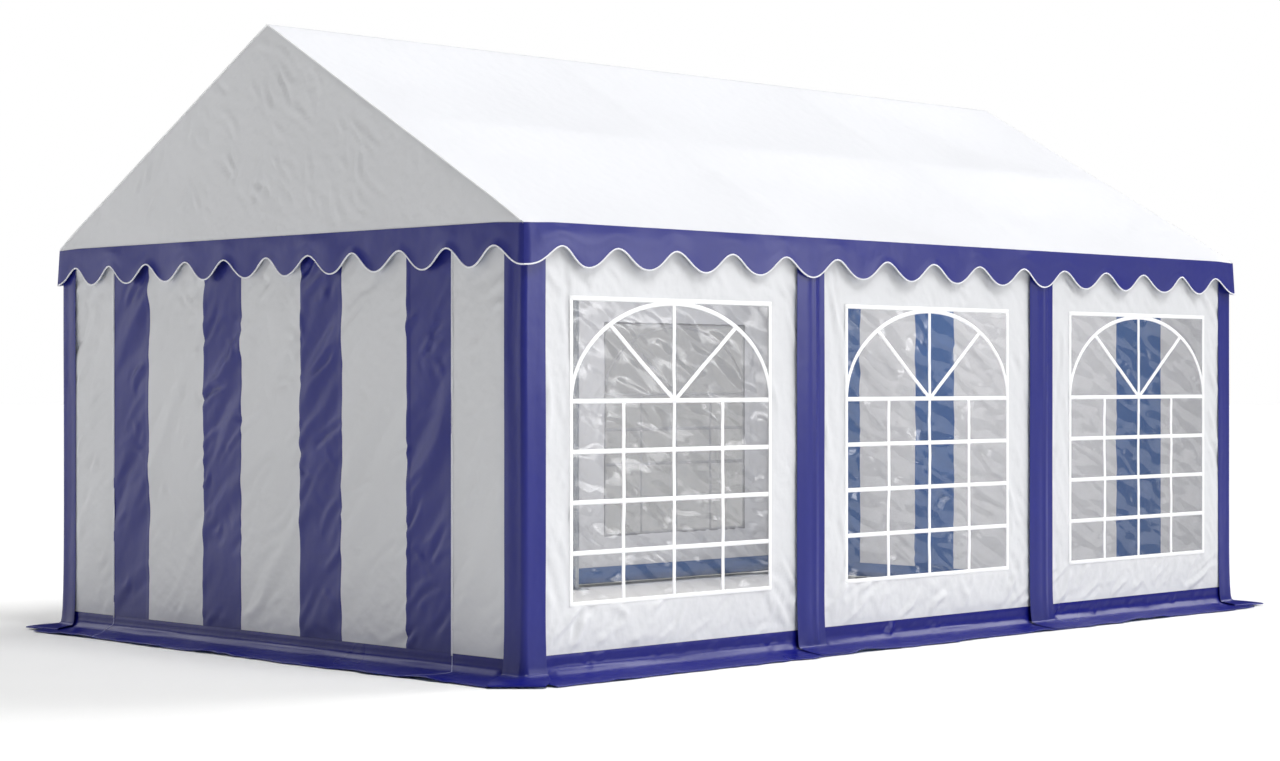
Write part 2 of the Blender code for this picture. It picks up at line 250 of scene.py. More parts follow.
def galvanised_steel(tree, place):
    """Steel tube dipped in molten zinc: dull silver, with the zinc's crystals as large pale flakes."""
    flakes = add_node(tree, "ShaderNodeTexVoronoi", {"Scale": 1 / 0.014, "Randomness": 1.0},
                      {"Vector": place}, feature="F1")
    color = add_node(tree, "ShaderNodeMix", {6: srgb("#BEC3C7"), 7: srgb("#DADDDF")},
                     {0: flakes.outputs["Color"]}, data_type="RGBA")
    rough = add_node(tree, "ShaderNodeMapRange", {"To Min": 0.38, "To Max": 0.58},
                     {"Value": flakes.outputs["Color"]})
    return add_node(tree, "ShaderNodeBsdfPrincipled", {"Metallic": 1.0},
                    {"Base Color": color.outputs[2], "Roughness": rough})


def painted_board(tree, place):
    """Matt white sweep of painted board."""
    grain = add_node(tree, "ShaderNodeTexNoise", {"Scale": 1 / 0.6, "Detail": 3.0}, {"Vector": place})
    color = add_node(tree, "ShaderNodeMix", {6: srgb("#FCFCFB"), 7: srgb("#FAFAF9")},
                     {0: grain}, data_type="RGBA")
    return add_node(tree, "ShaderNodeBsdfPrincipled", {"Roughness": 0.95, "Specular IOR Level": 0.1},
                    {"Base Color": color.outputs[2]})


WHITE = material("white PVC-coated tarpaulin", tarpaulin, "#DFE0E3", "#DCDDE0", 0.46, 0.3, 0.006)
# Painted light: the roof takes a lighter copy of the walls' white tarpaulin, standing in for the brighter
# light on top.
ROOF_WHITE_PAINTED_LIGHT = material("white PVC-coated roof tarpaulin, lighter as painted light", tarpaulin, "#E8E9ED", "#E6E7EB", 0.5, 0.25)
BLUE = material("blue PVC-coated tarpaulin", tarpaulin, "#22277F", "#1D2275", 0.41, 0.46, 0.002)
COVER_BLUE = material("blue PVC-coated post cloth", tarpaulin, "#22277F", "#1D2275", 0.34, 0.36, 0.002)
# Painted shade: the foot cloth is a darker copy of the blue tarpaulin, standing in for the shade on the
# tent's feet.
FOOT_BLUE_PAINTED_SHADE = material("blue PVC-coated foot cloth, darkened as painted shade", tarpaulin, "#14197C", "#111573", 0.32, 0.26, 0.002)
# Painted light: the inner faces of blue cloth take this lighter steel blue, which stands in for daylight
# shining through the cloth.
BLUE_INSIDE_PAINTED_DAYLIGHT = material("blue PVC-coated tarpaulin with daylight behind it", tarpaulin,
                       "#2F61A2", "#2B5896", 0.5, 0.3)
CUT_EDGE = material("cut edge of blue tarpaulin, with its pale core", tarpaulin,
                    "#9EA2D0", "#B3B6DC", 0.5, 0.3)
CLEAR = material("clear PVC foil", clear_foil)
STRIP = material("welded white PVC strip", white_film, 0.0)
# Painted light: this strip glows from within, an emission standing in for daylight through the film.
STRIP_BACK_PAINTED_GLOW = material("welded white PVC strip with daylight behind it", white_film, 0.27)
BINDING = material("polyester edge binding", braid)
STEEL = material("hot-dip galvanised steel", galvanised_steel)
FLOOR = material("matt white floor", painted_board)


def stand(wall, plane):
    """The matrix that stands a flat cloth (along, up, out) on one of the four walls."""
    turn = {"front": 0, "right": 90, "back": 180, "left": 270}[wall]
    return (Matrix.Rotation(math.radians(turn), 4, "Z") @ Matrix.Translation((0, -plane, 0))
            @ Matrix.Rotation(math.radians(90), 4, "X"))


def stand_up(bm, wall, plane, middle=0):
    """Moves a flat cloth along to its middle and stands it on its wall."""
    bmesh.ops.translate(bm, vec=(middle, 0, 0), verts=bm.verts)
    bmesh.ops.transform(bm, matrix=stand(wall, plane), verts=bm.verts)


def along_wall(side, node):
    """The left and right ends of a node on a long side, seen from outside."""
    low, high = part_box(node)
    return (low.y, high.y) if side == "right" else (-high.y, -low.y)


def flat_grid(low, high, step):
    """A flat grid from low to high, each (along, up), in cells of about the step."""
    width = high[0] - low[0]
    height = high[1] - low[1]
    bm = bmesh.new()
    bmesh.ops.create_grid(bm, x_segments=max(1, round(width / step)),
                          y_segments=max(1, round(height / step)), size=0.5)
    bmesh.ops.scale(bm, vec=(width, height, 1), verts=bm.verts)
    bmesh.ops.translate(bm, vec=(low[0] + width / 2, low[1] + height / 2, 0), verts=bm.verts)
    return bm


def cut(bm, place, normal, clear=False):
    """Cuts the cloth along a line, and drops what lies past it where clear is set."""
    bmesh.ops.bisect_plane(bm, geom=bm.verts[:] + bm.edges[:] + bm.faces[:], plane_co=(*place, 0),
                           plane_no=(*normal, 0), dist=0.00001, clear_outer=clear)


def smooth(value, low, high):
    """0 below low, 1 above high, and an even rise between."""
    t = np.clip((value - low) / (high - low), 0, 1)
    return t * t * (3 - 2 * t)


def swell(along, up, size, seed):
    """Smooth random swells of about -1 to 1 over arrays of places, as wide as the size."""
    lattice = np.random.default_rng(seed).uniform(-1, 1, (64, 64))
    a = along / size + 32.37
    b = up / size + 32.61
    i = np.floor(a).astype(int)
    j = np.floor(b).astype(int)
    s = smooth(a - i, 0, 1)
    t = smooth(b - j, 0, 1)
    low = lattice[i % 64, j % 64] * (1 - s) + lattice[(i + 1) % 64, j % 64] * s
    high = lattice[i % 64, (j + 1) % 64] * (1 - s) + lattice[(i + 1) % 64, (j + 1) % 64] * s
    return low * (1 - t) + high * t


def slanted_folds(along, up, slant, length, width, seed):
    """Sharp-crested folds of height 0 to 1 that lie at a slant, as in cloth pulled across its bias."""
    angle = math.radians(slant)
    run = (along * math.cos(angle) + up * math.sin(angle)) / length
    rise = (up * math.cos(angle) - along * math.sin(angle)) / width
    bent = rise + 0.8 * swell(run, rise * 0.3, 1.0, seed + 1)
    fold = swell(run, bent, 1.0, seed)
    return 1 - np.sqrt(fold * fold + 0.01)


def scatter(dice, *families):
    """Random creases, a few strong and most of them weak: middle, angle, length, width, height, bow.

    A family of creases is a count, the low and high corners of the field that they lie in, and the
    ranges of their slant in degrees, their length, width and height.
    """
    creases = []
    for count, low, high, slants, lengths, widths, (least, most) in families:
        for _ in range(count):
            middle = (dice.uniform(low[0], high[0]), dice.uniform(low[1], high[1]))
            angle = math.radians(dice.uniform(*slants))
            height = (least + (most - least) * dice.random() ** 2) * dice.choice((-1, 1, 1))
            creases.append((*middle, angle, dice.uniform(*lengths), dice.uniform(*widths), height,
                            dice.uniform(-1.2, 1.2)))
    return creases


def crease_relief(along, up, creases):
    """Height of the cloth from its creases: a crest with a slack valley on either side."""
    relief = np.zeros(len(along))
    for x, z, angle, length, width, height, bow in creases:
        dx = along - x
        dz = up - z
        t = (dx * math.cos(angle) + dz * math.sin(angle)) / length
        s = (dz * math.cos(angle) - dx * math.sin(angle)) / width - bow * (4 * t * t - 0.5)
        near = (np.abs(t) < 0.75) & (np.abs(s) < 4)
        t = t[near]
        s = s[near]
        relief[near] += height * np.exp(-(2.1 * t) ** 4) * (1 - s * s) * np.exp(-s * s / 2)
    return relief


def points(bm):
    """The places of a flat cloth's points as two arrays: along and up."""
    flat = np.array([vert.co[:2] for vert in bm.verts])
    return flat[:, 0], flat[:, 1]


def place_points(bm, *places):
    """Sets the points of a mesh from arrays of their coordinates; with one array, only the last."""
    if len(places) == 1:
        for vert, out in zip(bm.verts, places[0]):
            vert.co.z = out
        return
    for vert, *spot in zip(bm.verts, *places):
        vert.co = spot


def unit_grid(columns, rows, foot=None, hem=None):
    """A grid as arrays: across, -1 to 1, and the way down, 0 to 1.

    A foot packs half of the rows into that last share of the way, where a cloth folds. A hem is the
    share that the last row takes.
    """
    bm = bmesh.new()
    bmesh.ops.create_grid(bm, x_segments=columns, y_segments=rows, size=1)
    across, down = points(bm)
    row = np.rint((1 - down) / 2 * rows)
    way = np.minimum(row / (rows - 1), 1) if hem else row / rows
    if foot:
        way = np.interp(way, (0, 0.5, 1), (0, 1 - foot, 1))
    if hem:
        way = np.where(row == rows, 1.0, way * (1 - hem))
    return bm, across, way


def add_object(name, data):
    """A new object in the scene, at the origin."""
    obj = bpy.data.objects.new(name, data)
    bpy.context.scene.collection.objects.link(obj)
    return obj


def add_mesh(name, bm, materials):
    """Turns a bmesh into an object with its materials."""
    mesh = bpy.data.meshes.new(name)
    bm.to_mesh(mesh)
    bm.free()
    for made in materials:
        mesh.materials.append(made)
    mesh.shade_smooth()
    return add_object(name, mesh)


def add_piece(name, bm, materials, nodes=(), thickness=None, inner=0):
    """Makes a mesh piece that rides on the tent, and gives a sheet its thickness.

    inner is how many slots further on the inner face takes its material.
    """
    if thickness:
        for edge in bm.edges:
            edge.smooth = not edge.is_boundary
    obj = add_mesh(name, bm, materials)
    if thickness:
        body = obj.modifiers.new("thickness", "SOLIDIFY")
        body.thickness = thickness
        body.offset = -1
        body.use_even_offset = False
        body.material_offset = inner
    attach(obj, "root")
    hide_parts(*nodes)
    return obj


def window_gap(along, up):
    """How far outside the window's edge a place is, or less than 0 inside it."""
    return np.maximum(np.abs(along) - WINDOW_HALF, np.maximum(SILL_Z - up, up - WINDOW_TOP))


def window_relief(along, up, seed):
    """The bow of a window's foil, which its strips follow: slack ripples between welded edges."""
    loose = smooth(-window_gap(along, up), 0.0, 0.16)
    return -0.0016 + loose * (0.0035 * swell(along * 0.8, up * 1.4, 0.22, seed)
                              + 0.0012 * swell(along + 0.5 * up, up * 1.6, 0.075, seed + 3))


def window_creases(dice):
    """Tension creases round a window: left of it, high and low, right, below in three kinds, and above."""
    side = WINDOW_HALF
    edge = BAY / 2
    end = 0.95
    low = SIDE_BOTTOM
    return scatter(
        dice,
        (14, (-edge, 1.0), (-side, 1.85), (82, 112), (0.25, 0.7), (0.016, 0.028), (0.0015, 0.0065)),
        (14, (-edge, 0.2), (-side, 1.0), (60, 130), (0.12, 0.35), (0.016, 0.028), (0.0012, 0.006)),
        (30, (side, 0.2), (edge, 1.95), (112, 140), (0.12, 0.34), (0.015, 0.026), (0.0014, 0.0065)),
        (38, (-end, low), (end, SILL_Z), (22, 62), (0.1, 0.32), (0.014, 0.024), (0.002, 0.009)),
        (10, (-end, low), (-0.45, SILL_Z), (30, 70), (0.1, 0.3), (0.016, 0.026), (0.0035, 0.0105)),
        (10, (-end, low), (end, SILL_Z), (110, 150), (0.08, 0.22), (0.016, 0.026), (0.0012, 0.0055)),
        (24, (-end, WINDOW_TOP), (end, 2.02), (120, 155), (0.1, 0.28), (0.015, 0.026), (0.0012, 0.006)),
    )


def window_wall(side, number, middle):
    """A 2 m sheet with its window cut out, drawn tight at its edges."""
    seed = 10 * number + (0 if side == "right" else 5)
    node = f"{side}_window_wall_{number}"
    left, right = along_wall(side, node)
    bm = flat_grid((left - middle, SIDE_BOTTOM), (right - middle, WALL_TOP), WALL_STEP)
    for x in (-WINDOW_HALF, WINDOW_HALF):
        cut(bm, (x, 0), (1, 0))
    for z in (SILL_Z, WINDOW_TOP):
        cut(bm, (0, z), (0, 1))
    inside = [face for face in bm.faces if window_gap(*face.calc_center_median()[:2]) < 0]
    bmesh.ops.delete(bm, geom=inside, context="FACES")
    along, up = points(bm)
    sideways = smooth(BAY / 2 - np.abs(along), 0.02, 0.14)
    upright = smooth(up - SIDE_BOTTOM, 0, 0.05) * smooth(WALL_TOP - up, 0, 0.08)
    off_window = smooth(window_gap(along, up), 0.0, 0.03)
    broad = 0.005 * swell(along, up, 0.45, seed)
    creased = crease_relief(along, up, window_creases(random.Random(seed)))
    creased += 0.0035 * (slanted_folds(along, up, 125, 0.3, 0.085, seed) - 0.6)
    out = (broad * sideways * upright * off_window
           + creased * (0.35 + 0.65 * sideways) * (0.3 + 0.7 * upright) * (0.1 + 0.9 * off_window))
    covered = smooth(np.abs(along + middle), WALL_Y - 0.18, WALL_Y - CORNER_ARM)
    out = np.clip(out, -RIM_IN - SIDE_IN * upright, SIDE_OUT * (0.1 + 0.9 * sideways) * (1 - covered))
    place_points(bm, out)
    stand_up(bm, side, WALL_X, middle)
    wall = add_piece(f"{side}_bay_{number}_cloth", bm, [WHITE], [node], CLOTH)
    bars = window_strips(side, number, middle, seed)
    pane = window_foil(side, number, middle, seed)


def window_foil(side, number, middle, seed):
    """The clear pane, welded behind the edge of the opening."""
    bm = flat_grid((-WINDOW_HALF - LAP, SILL_Z - LAP), (WINDOW_HALF + LAP, WINDOW_TOP + LAP),
                   FOIL_STEP)
    along, up = points(bm)
    place_points(bm, window_relief(along, up, seed))
    stand_up(bm, side, WALL_X, middle)
    return add_piece(f"{side}_bay_{number}_foil", bm, [CLEAR],
                     [f"{side}_window_foil_{number}"])


def line(start, end, step=0.04):
    """Points along a straight line, about a step apart."""
    return np.linspace(start, end, max(2, round(math.dist(start, end) / step) + 1))


def strip_along(path, width, seed, lift):
    """A flat strip of film laid along a path of (along, up), a little above the foil below it."""
    bm = bmesh.new()
    bmesh.ops.create_grid(bm, x_segments=len(path) - 1, y_segments=2, size=0.5)
    for vert in bm.verts:
        index = round((vert.co.x + 0.5) * (len(path) - 1))
        before = Vector(path[max(index - 1, 0)])
        after = Vector(path[min(index + 1, len(path) - 1)])
        ahead = (after - before).normalized()
        spot = Vector(path[index]) + Vector((-ahead.y, ahead.x)) * vert.co.y * width
        vert.co = (spot.x, spot.y, 0)
    along, up = points(bm)
    place_points(bm, window_relief(along, up, seed) + lift)
    return bm


def window_strips(side, number, middle, seed):
    """White strips in the pattern of a sash window under a fanlight, each lapped over the one below."""
    paths = []
    for x in (-WINDOW_HALF / 2, 0, WINDOW_HALF / 2):
        paths.append((line((x, SILL_Z), (x, SPRING_Z if x else WINDOW_TOP)), 1))
    for row in range(1, PANE_ROWS + 1):
        z = SILL_Z + (SPRING_Z - SILL_Z) * row / PANE_ROWS
        paths.append((line((-WINDOW_HALF, z), (WINDOW_HALF, z)), 2))
    for sign in (-1, 1):
        paths.append((line((0, SPRING_Z), (sign * SPOKE[0], SPRING_Z + SPOKE[1])), 3))
    turns = [math.pi * i / ARCH_STEPS for i in range(ARCH_STEPS + 1)]
    arch = [(-WINDOW_HALF * math.cos(turn), SPRING_Z + ARCH_RISE * math.sin(turn)) for turn in turns]
    paths.append((arch, 4))
    for x in (-WINDOW_HALF, WINDOW_HALF):
        paths.append((line((x, SILL_Z - BAR / 2), (x, WINDOW_TOP + BAR / 2)), 5))
    reach = WINDOW_HALF + BAR / 2
    for z in (SILL_Z, WINDOW_TOP):
        paths.append((line((-reach, z), (reach, z)), 6))
    whole = bmesh.new()
    scratch = bpy.data.meshes.new("strip")
    for path, layer in paths:
        piece = strip_along(path, BAR, seed, FILM + FILM_LIFT * layer)
        bmesh.ops.solidify(piece, geom=piece.faces[:], thickness=FILM)
        piece.to_mesh(scratch)
        piece.free()
        whole.from_mesh(scratch)
    bpy.data.meshes.remove(scratch)
    bmesh.ops.recalc_face_normals(whole, faces=whole.faces)
    for face in whole.faces:
        # Inner faces take the strip with the painted glow of daylight.
        face.material_index = 1 if face.normal.z < -0.5 else 0
    stand_up(whole, side, WALL_X, middle)
    bars = add_piece(f"{side}_bay_{number}_strips", whole, [STRIP, STRIP_BACK_PAINTED_GLOW])
    soften = bars.modifiers.new("edges", "BEVEL")
    soften.width = 0.0004
    soften.segments = 1
    soften.limit_method = "ANGLE"
    return bars


def wall_out(along, up, seed, creases, left, right):
    """How far a gable wall stands out: broad billows and creases that die out at its edges."""
    sideways = smooth(np.minimum(along - left, right - along), 0.0, 0.1)
    upright = smooth(up - GABLE_BOTTOM, 0, 0.06) * smooth(WALL_TOP - up, 0, 0.08)
    broad = 0.006 * swell(along, up, 0.5, seed)
    creased = crease_relief(along, up, creases)
    creased += 0.004 * (slanted_folds(along, up, 52, 0.34, 0.095, seed) - 0.6)
    out = broad * sideways * upright + creased * (0.4 + 0.6 * sideways) * (0.25 + 0.75 * upright)
    return np.clip(out, -RIM_IN - GABLE_IN * upright, GABLE_OUT)


def door_panel(end):
    """The wide middle of a gable wall: white and blue lengths of cloth, lapped and welded side by side."""
    seed = 71 if end == "front" else 77
    low, high = (-DOOR_HALF, GABLE_BOTTOM), (DOOR_HALF, WALL_TOP)
    bm = flat_grid(low, high, GABLE_STEP)
    welds = [(edge, edge + lap) for edge, lap in zip(STRIPE_EDGES, (WELD, -WELD, WELD))]
    for weld in welds:
        for x in weld:
            cut(bm, (x, 0), (1, 0))
            cut(bm, (-x, 0), (1, 0))
    along, up = points(bm)
    creases = scatter(random.Random(seed),
                      (190, low, high, (22, 58), (0.07, 0.28), (0.015, 0.025), (0.0018, 0.0088)),
                      (63, low, high, (115, 160), (0.06, 0.18), (0.015, 0.022), (0.0014, 0.006)),
                      (31, low, high, (40, 60), (0.5, 0.9), (0.04, 0.07), (0.003, 0.009)))
    out = wall_out(along, up, seed, creases, -DOOR_HALF, DOOR_HALF)
    span = np.abs(along)
    for start, stop in map(sorted, welds):
        out += WELD_LIFT * ((span > start - 0.0005) & (span < stop + 0.0005))
    for face in bm.faces:
        spot = abs(face.calc_center_median().x)
        face.material_index = int(STRIPE_EDGES[0] < spot < STRIPE_EDGES[1] or spot > STRIPE_EDGES[2])
    sway = 0.003 * swell(up, along, 0.34, seed + 2) * (0.3 + 0.7 * smooth(span, 0.2, DOOR_HALF))
    place_points(bm, along + sway * smooth(up - GABLE_BOTTOM, 0, 0.1), up, out)
    stand_up(bm, end, WALL_Y)
    # The blue stripes' inner faces take the lighter blue of painted daylight.
    panel = add_piece(end + "_door_cloth", bm, [WHITE, BLUE, WHITE, BLUE_INSIDE_PAINTED_DAYLIGHT],
                      [end + "_door_panel"], CLOTH, inner=2)


def side_strip(end, side):
    """The white length of gable wall between a zip and the corner."""
    sign = 1 if (end == "front") == (side == "right") else -1
    seed = 80 + (end == "front") * 4 + (side == "right") * 2
    node = f"{end}_{side}_strip"
    reach = max(abs(corner.x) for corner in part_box(node))
    left, right = sorted((sign * DOOR_HALF, sign * reach))
    low, high = (left, GABLE_BOTTOM), (right, WALL_TOP)
    bm = flat_grid(low, high, GABLE_STEP)
    along, up = points(bm)
    creases = scatter(random.Random(seed),
                      (44, low, high, (25, 62), (0.07, 0.28), (0.015, 0.025), (0.0022, 0.01)),
                      (6, low, high, (50, 65), (0.4, 0.7), (0.035, 0.06), (0.003, 0.008)))
    out = wall_out(along, up, seed, creases, left, right)
    under_cover = smooth(np.abs(along), WALL_X - 0.17, WALL_X - CORNER_ARM)
    place_points(bm, np.where(out > 0, out * (1 - under_cover), out))
    stand_up(bm, end, WALL_Y)
    cloth = add_piece(f"{end}_{side}_strip_cloth", bm, [WHITE], [node], CLOTH)


def zip_fastener(end, sign):
    """A white nylon zip: a narrow woven tape with a closed row of coil teeth down its middle."""
    middle = sign * DOOR_HALF
    low, high = GABLE_BOTTOM - 0.012, VALANCE_TOP - 0.03
    tape_half, tape_out, tape_thickness = 0.006, 0.002, 0.0008
    pitch, tooth, tooth_out = 0.005, (0.0045, 0.0033, 0.0022), 0.0036
    zipper = flat_grid((middle - tape_half, low), (middle + tape_half, high), 2 * tape_half)
    bmesh.ops.translate(zipper, vec=(0, 0, tape_out), verts=zipper.verts)
    bmesh.ops.solidify(zipper, geom=zipper.faces[:], thickness=tape_thickness)
    for index in range(int((high - low) / pitch)):
        made = bmesh.ops.create_cube(zipper, size=1)["verts"]
        bmesh.ops.scale(zipper, vec=tooth, verts=made)
        bmesh.ops.translate(zipper, vec=(middle, low + (index + 0.5) * pitch, tooth_out), verts=made)
    bmesh.ops.recalc_face_normals(zipper, faces=zipper.faces)
    stand_up(zipper, end, WALL_Y)
    add_piece(f"{end}_zip_{'right' if sign > 0 else 'left'}", zipper, [BINDING])


def gable(end):
    """The white triangle over a gable wall, lapped behind the valance below it."""
    seed = 91 if end == "front" else 95
    base = VALANCE_TOP
    lean = Vector((SLOPE, 1)).normalized()
    peak = RIDGE_Z - CLOTH / lean.y - 0.0004
    half = (peak - base) / SLOPE
    bm = flat_grid((-half, base - 2 * LAP), (half, peak), GABLE_STEP)
    cut(bm, (0, base), (0, 1))
    for sign in (-1, 1):
        cut(bm, (0, peak), (sign * lean.x, lean.y), clear=True)
        cut(bm, (sign * (half - 0.014), 0), (sign, 0), clear=True)
    along, up = points(bm)
    below = up < base - 0.001
    along = np.where(below, np.clip(along, 0.03 - half, half - 0.03), along)
    lower = peak - 0.3
    wide = (0.015, 0.024)
    creases = scatter(random.Random(seed),
                      (80, (-0.7, base + 0.1), (0.9, peak), (112, 150), (0.07, 0.26), wide, (0.0022, 0.01)),
                      (34, (-half, base), (0, lower), (45, 75), (0.07, 0.24), wide, (0.0018, 0.009)),
                      (28, (0.3, base), (half, lower), (50, 115), (0.07, 0.22), wide, (0.0018, 0.009)))
    edge = np.minimum((peak - up - np.abs(along) * SLOPE) * lean.y, up - base)
    out = crease_relief(along, up, creases) + 0.005 * swell(along, up, 0.4, seed)
    out = np.clip(out, -0.009, 0.007) * smooth(edge, 0.0, 0.07)
    at_rim = edge < 0.002
    place_points(bm, along, up - corner_dip(half - np.abs(along)) * at_rim, out - 0.002 * at_rim)
    stand_up(bm, end, ROOF_Y)
    cloth = add_piece(end + "_gable_cloth", bm, [WHITE], [end + "_gable"], CLOTH)


def corner_dip(gap):
    """How far the eave's edge is drawn down near a corner of the tent, by the gap left to it."""
    return CORNER_DIP * (1 - smooth(gap, 0.0, 0.22))


def roof_slack(x, y):
    """How slack the roof cloth is: 0 over the tubes that hold it, about 1 between them."""
    across = np.abs(x)
    cell = np.where(across < PURLIN_X, across / PURLIN_X, (across - PURLIN_X) / (ROOF_X - PURLIN_X))
    bay = np.where(np.abs(y) > WALL_Y, 0, (y + 3 * POST_Y) % BAY / BAY)
    sag_across = np.sqrt(np.sin(np.pi * np.clip(cell, 0, 1)) ** 2 + 0.003) - math.sqrt(0.003)
    sag_along = np.sqrt(np.sin(np.pi * bay) ** 2 + 0.002) - math.sqrt(0.002)
    return sag_across * np.maximum(sag_along, 0) ** 0.6


def roof_height(x, y):
    """Height of the roof cloth: straight over the tubes, and sagging a little between them."""
    across = np.abs(x)
    plain = RIDGE_Z - SLOPE * np.sqrt(x * x + RIDGE_SOFTNESS ** 2)
    edge = np.minimum(ROOF_X - across, ROOF_Y - np.abs(y))
    dip = corner_dip(np.hypot(ROOF_X - across, ROOF_Y - np.abs(y))) * (1 - smooth(edge, 0.0, 0.03))
    return plain - ROOF_SAG * roof_slack(x, y) - dip


def roof():
    """One sheet over both slopes, drawn tight over ridge, purlins and rafters."""
    bm = flat_grid((-ROOF_X, -ROOF_Y), (ROOF_X, ROOF_Y), ROOF_STEP)
    cut(bm, (0, 0), (1, 0))
    x, y = points(bm)
    creases = scatter(random.Random(7), (60, (-ROOF_X, -ROOF_Y), (ROOF_X, ROOF_Y), (60, 120), (0.3, 0.9),
                                         (0.04, 0.08), (0.001, 0.003)))
    loose = np.minimum(3 * roof_slack(x, y), 1)
    height = roof_height(x, y) + np.minimum(crease_relief(x, y, creases), 0.0015) * loose
    past_x = np.maximum(np.abs(x) - (ROOF_X - CORNER_RADIUS), 0)
    past_y = np.maximum(np.abs(y) - (ROOF_Y - CORNER_RADIUS), 0)
    inward = 1 - np.minimum(1, CORNER_RADIUS / np.maximum(np.hypot(past_x, past_y), 0.0001))
    place_points(bm, x - np.copysign(past_x * inward, x), y - np.copysign(past_y * inward, y), height)
    # The roof's lighter white is painted light.
    cover = add_piece("roof_cloth", bm, [ROOF_WHITE_PAINTED_LIGHT], ["roof_cover"], CLOTH)


def tube_along(name, path, radius, finish):
    """A round bead along a path of points, as a curve with a bevel."""
    curve = bpy.data.curves.new(name, "CURVE")
    curve.dimensions = "3D"
    curve.bevel_depth = radius
    curve.bevel_resolution = 1
    curve.use_fill_caps = True
    spline = curve.splines.new("POLY")
    spline.points.add(len(path) - 1)
    for point, place in zip(spline.points, path):
        point.co = (*place, 1)
    curve.materials.append(finish)
    obj = add_object(name, curve)
    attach(obj, "root")
    return obj


def roof_welts():
    """The white bead where the roof is welded to a gable, from eave to ridge to eave."""
    reach = ROOF_X - CORNER_RADIUS
    x = np.linspace(-reach, reach, 61)
    z = roof_height(x, np.full_like(x, ROOF_Y)) - 0.003
    for end, sign in (("front", -1), ("back", 1)):
        path = [(a, sign * (ROOF_Y + 0.0005), b) for a, b in zip(x, z)]
        tube_along(end + "_roof_welt", path, WELT_RADIUS, STRIP)


def round_corner(along, out, half):
    """Bends the ends of a valance halfway round the tent's corners."""
    straight = half - CORNER_RADIUS
    past = np.abs(along) > straight
    angle = math.radians(45) * np.clip((np.abs(along) - straight) / CORNER_RADIUS, 0, 1)
    reach = CORNER_RADIUS + out
    x = np.where(past, straight + reach * np.sin(angle), np.abs(along))
    return np.copysign(x, along), np.where(past, reach * np.cos(angle) - CORNER_RADIUS, out)


def valance_out(along, down, half, seed):
    """How far a valance stands out: it hangs free, so its waves grow towards its edge."""
    calm = np.clip((half - np.abs(along)) / 0.1, 0, 1)
    billow = 0.013 * swell(along, down * 0.3, 0.3, seed) + 0.005 * swell(along, down * 0.1, 0.11, seed + 4)
    belly = 0.004 * np.sin(np.pi * np.clip(down * 1.6, 0, 1))
    return 0.002 + down * 0.012 + calm * (np.maximum(billow, -0.007) * down + belly * (1 + billow * 60))


def valance(wall):
    """The blue scalloped edge under the eave, with pale binding along its wave."""
    side = wall in ("left", "right")
    half, plane, count = (ROOF_Y, ROOF_X, SIDE_SCALLOPS) if side else (ROOF_X, ROOF_Y, GABLE_SCALLOPS)
    seed = {"front": 31, "right": 41, "back": 51, "left": 61}[wall]
    middle = (VALANCE_TIP + VALANCE_VALLEY) / 2
    swing = (VALANCE_VALLEY - VALANCE_TIP) / 2 - PIPING_RADIUS / 2
    widening = 0.034 if side else 0.012

    def edge_height(along):
        gap = half - np.abs(along)
        widened = gap - widening * np.sin(np.pi * np.clip(gap / 0.4, 0, 1))
        turn = np.pi * count * widened / half
        wave = np.cos(turn) + FULLNESS * (1 - np.cos(2 * turn))
        return middle - swing * wave + 0.8 * corner_dip(gap)

    bm, across, down = unit_grid(count * 20, 10)
    along = across * half
    top = EAVE_Z - CLOTH - corner_dip(half - np.abs(along))
    up = top + (edge_height(along) - top) * down
    bent, out = round_corner(along, valance_out(along, down, half, seed), half)
    place_points(bm, bent, up, out)
    stand_up(bm, wall, plane)
    # The valance's inner face takes the lighter blue of painted daylight.
    cloth = add_piece(wall + "_valance_cloth", bm, [BLUE, BLUE_INSIDE_PAINTED_DAYLIGHT],
                      [wall + "_valance"], CLOTH, inner=1)
    along = np.linspace(-half, half, count * 20 + 1)
    bent, out = round_corner(along, valance_out(along, 1.0 + 0 * along, half, seed) - CLOTH / 2, half)
    path = [stand(wall, plane) @ Vector(spot) for spot in zip(bent, edge_height(along), out)]
    binding = tube_along(wall + "_valance_binding", path, PIPING_RADIUS, BINDING)


def along_section(folds, way):
    """The places (out, up) on a section, at each way down it from 0 to 1, and the section's length."""
    outs, ups = np.array(folds).T
    runs = np.concatenate(([0], np.cumsum(np.hypot(np.diff(outs), np.diff(ups)))))
    return np.interp(way * runs[-1], runs, outs), np.interp(way * runs[-1], runs, ups), runs[-1]


